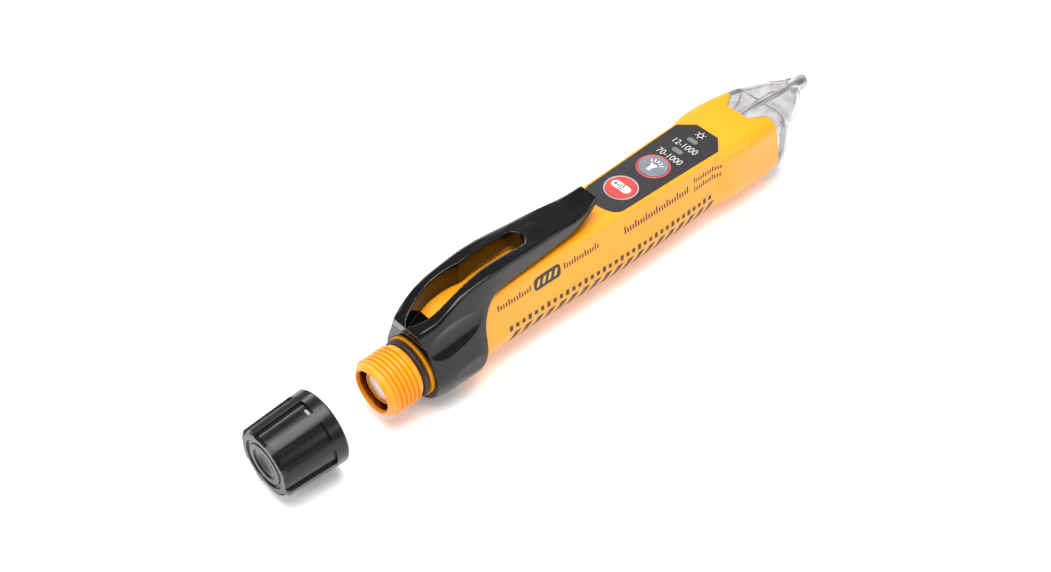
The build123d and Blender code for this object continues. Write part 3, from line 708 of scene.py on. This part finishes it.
def make_detect_sign(white, dark):
    """A pale plate across the detect button, with a dot and three waves on it."""
    top = key_top("detect_button")
    plate = []
    badge(plate, x=0, z=0, width=7.0, height=2.9, corner=1.4)
    turned = [[(v, -u) for u, v in corners] for corners in plate]
    flat_sign("detect_tag", turned, top, "detect_key", white)
    dot_left = 2.2
    dot_radius = 0.5
    first_wave, wave_pitch, wave_width = 0.9, 0.85, 0.4
    wave_from, wave_to = -122, -58
    marks = []
    for i in range(3):
        inner = first_wave + i * wave_pitch
        marks += ring_sector(inner, inner + wave_width, wave_from, wave_to, 6, left=dot_left)
    marks += ring_sector(0.0, dot_radius, 0, 360, 12, left=dot_left)
    flat_sign("detect_waves", marks, top + Vector((0, 0, INK_LIFT)), "detect_key", dark)


def make_torch_sign(white):
    """A torch with five rays on the torch button."""
    torch = stroke(-1.7, 0, angle=0, length=1.9, width=1.1)
    torch += [[(-0.8, -0.6), (0.5, -1.35), (0.5, 1.35), (-0.8, 0.6)]]
    ray_middle, ray_radius = -0.3, 2.6
    for angle in (-50, -25, 0, 25, 50):
        turn = math.radians(angle)
        torch += stroke(ray_middle + ray_radius * math.cos(turn), ray_radius * math.sin(turn),
                        angle, length=1.2, width=0.3)
    flat_sign("torch_sign", torch, key_top("torch_button"), "torch_key", white)


def make_key_signs():
    """A sensing sign on the detect button and a torch on the other."""
    white = printed_ink("print_white", paint(236, 234, 232))
    dark = printed_ink("print_sign_dark", paint(60, 22, 24))
    make_detect_sign(white, dark)
    make_torch_sign(white)


SIZE_PER_DIGIT_HEIGHT = 1.42   # of Blender's own font
DIGIT_NARROWING = 0.84
DIGIT_THINNING = 0.05 * MM


def numeral(name, text, x, height, finish):
    """Plain numerals on the label, read from the tool's left to its right."""
    curve = bpy.data.curves.new(name, "FONT")
    curve.body = text
    curve.align_x = "CENTER"
    curve.align_y = "CENTER"
    curve.size = height * SIZE_PER_DIGIT_HEIGHT
    curve.extrude = INK_LIFT / 2
    curve.offset = -DIGIT_THINNING
    source = bpy.data.objects.new(name + "_line", curve)
    SCENE.collection.objects.link(source)
    bpy.context.view_layer.update()
    graph = bpy.context.evaluated_depsgraph_get()
    mesh = bpy.data.meshes.new_from_object(source.evaluated_get(graph))
    bpy.data.objects.remove(source)
    piece = bpy.data.objects.new(name, mesh)
    place = tool(x)
    place.z = LABEL_Z + INK_LIFT / 2
    turn = Matrix(((0, 1, 0), (-1, 0, 0), (0, 0, 1))).to_4x4()
    narrow = Matrix.Diagonal((DIGIT_NARROWING, 1, 1, 1))
    mesh.transform(Matrix.Translation(place) @ turn @ narrow)
    SCENE.collection.objects.link(piece)
    finish.on(piece)
    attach(piece, "tester")


CAP_MARK_BEHIND_RIM = 4.7 * MM
CAP_MARK_LENGTH = 0.8 * MM
CAP_MARK_FROM, CAP_MARK_TO = 91.0, 101.5    # degrees round the axis from the left


def make_cap_mark():
    """Small pale index mark on the cap, behind its rim."""
    surface = surface_of("tail_cap")
    mesh = bmesh.new()
    mark_front = CAP_HIGH.x - CAP_MARK_BEHIND_RIM
    steps = 6
    rows = []
    for x in (mark_front, mark_front - CAP_MARK_LENGTH):
        row = []
        for i in range(steps + 1):
            turn = math.radians(CAP_MARK_FROM + (CAP_MARK_TO - CAP_MARK_FROM) * i / steps)
            outward = Vector((0, math.cos(turn), math.sin(turn)))
            start = Vector((x, 0, AXIS_Z)) + outward * SIDE_REACH
            hit, normal = surface.ray_cast(start, -outward)[:2]
            row.append(mesh.verts.new(hit + normal * INK_LIFT))
        rows.append(row)
    for i in range(steps):
        mesh.faces.new((rows[0][i], rows[0][i + 1], rows[1][i + 1], rows[1][i]))
    add_piece("cap_mark", mesh, printed_ink("print_cap_grey", paint(150, 150, 152)), "tail_cap")


def make_label_marks():
    """Numerals beside the two windows and a small lamp sign ahead of them."""
    white = printed_ink("print_label_white", paint(222, 220, 220))
    digit_height = 2.5 * MM
    low_range_x, high_range_x, lamp_x = 124.9, 118.1, 132.2
    numeral("numerals_low", "12-1000", low_range_x, digit_height, white)
    numeral("numerals_high", "70-1000", high_range_x, digit_height, white)
    lamp = ring_sector(0.75, 1.0, 0, 360, 20)
    ray_radius = 1.55
    for angle in range(0, 360, 60):
        turn = math.radians(angle)
        lamp += stroke(ray_radius * math.cos(turn), ray_radius * math.sin(turn), angle,
                       length=0.5, width=0.22)
    place = tool(lamp_x)
    place.z = LABEL_Z
    flat_sign("lamp_sign", lamp, place, "tester", white)


# ---------------------------------------------------------------- camera, floor and light
CAMERA_AZIMUTH = math.radians(-43.1)
CAMERA_ELEVATION = math.radians(45.86)
CAMERA_DISTANCE = 0.4707
CAMERA_FOCUS = 54.8
SENSOR_WIDTH = 36.0
CAMERA_TARGET = tool(58.9, 0.8)
LIGHT_TARGET = tool(60, 0, 5)


def make_camera():
    """Camera at the photograph's angle, aimed at the battery axis under the clip."""
    back = Vector((
        math.sin(CAMERA_AZIMUTH) * math.cos(CAMERA_ELEVATION),
        -math.cos(CAMERA_AZIMUTH) * math.cos(CAMERA_ELEVATION),
        math.sin(CAMERA_ELEVATION),
    ))
    data = bpy.data.cameras.new("camera")
    data.lens = CAMERA_FOCUS
    data.sensor_width = SENSOR_WIDTH
    data.clip_start = 0.01
    data.clip_end = 20
    camera = bpy.data.objects.new("camera", data)
    camera.location = CAMERA_TARGET + back * CAMERA_DISTANCE
    camera.rotation_euler = back.to_track_quat("Z", "Y").to_euler()
    SCENE.collection.objects.link(camera)
    SCENE.camera = camera


def add_area_light(name, place, size, power):
    """Soft rectangular light pointed at the middle of the tool."""
    data = bpy.data.lights.new(name, "AREA")
    data.shape = "RECTANGLE"
    data.size, data.size_y = size
    data.energy = power
    light = bpy.data.objects.new(name, data)
    light.location = place
    towards = LIGHT_TARGET - light.location
    light.rotation_euler = towards.to_track_quat("-Z", "Y").to_euler()
    SCENE.collection.objects.link(light)


def make_studio():
    """Dim surroundings and four soft boxes."""
    SCENE.view_settings.view_transform = "Standard"
    world = bpy.data.worlds.new("studio")
    world.use_nodes = True
    background = world.node_tree.nodes["Background"]
    background.inputs["Color"].default_value = (1.0, 1.0, 1.0, 1.0)
    background.inputs["Strength"].default_value = 0.38
    SCENE.world = world
    add_area_light("overhead_box", place=(-0.08, -0.05, 0.80), size=(0.6, 0.6), power=8.2)
    add_area_light("far_strip", place=(0.15, 0.60, 0.45), size=(0.7, 0.15), power=2.4)
    add_area_light("tail_box", place=(-0.75, 0.10, 0.35), size=(0.3, 0.3), power=1.6)
    add_area_light("right_box", place=(0.35, -0.60, 0.40), size=(0.5, 0.20), power=1.3)


def make_floor():
    """White floor with a faint glow of its own, just under the tool."""
    half = 3.0
    gap = 0.1 * MM
    corners = [(-half, -half, 0), (half, -half, 0), (half, half, 0), (-half, half, 0)]
    floor_mesh = bpy.data.meshes.new("floor")
    floor_mesh.from_pydata(corners, [], [(0, 1, 2, 3)])
    floor = bpy.data.objects.new("floor", floor_mesh)
    floor.location.z = CAD_BOX[0][2] - gap
    SCENE.collection.objects.link(floor)
    material = bpy.data.materials.new("floor_white")
    material.use_nodes = True
    shader = material.node_tree.nodes["Principled BSDF"]
    shader.inputs["Base Color"].default_value = (0.94, 0.94, 0.94, 1)
    shader.inputs["Roughness"].default_value = 0.9
    shader.inputs["Emission Color"].default_value = (1, 1, 1, 1)
    shader.inputs["Emission Strength"].default_value = 0.14
    floor_mesh.materials.append(material)


make_camera()
make_studio()
make_floor()
paint_frame_nodes()
make_clip()
make_cap_spring()
make_side_prints()
make_key_signs()
make_label_marks()
make_cap_mark()
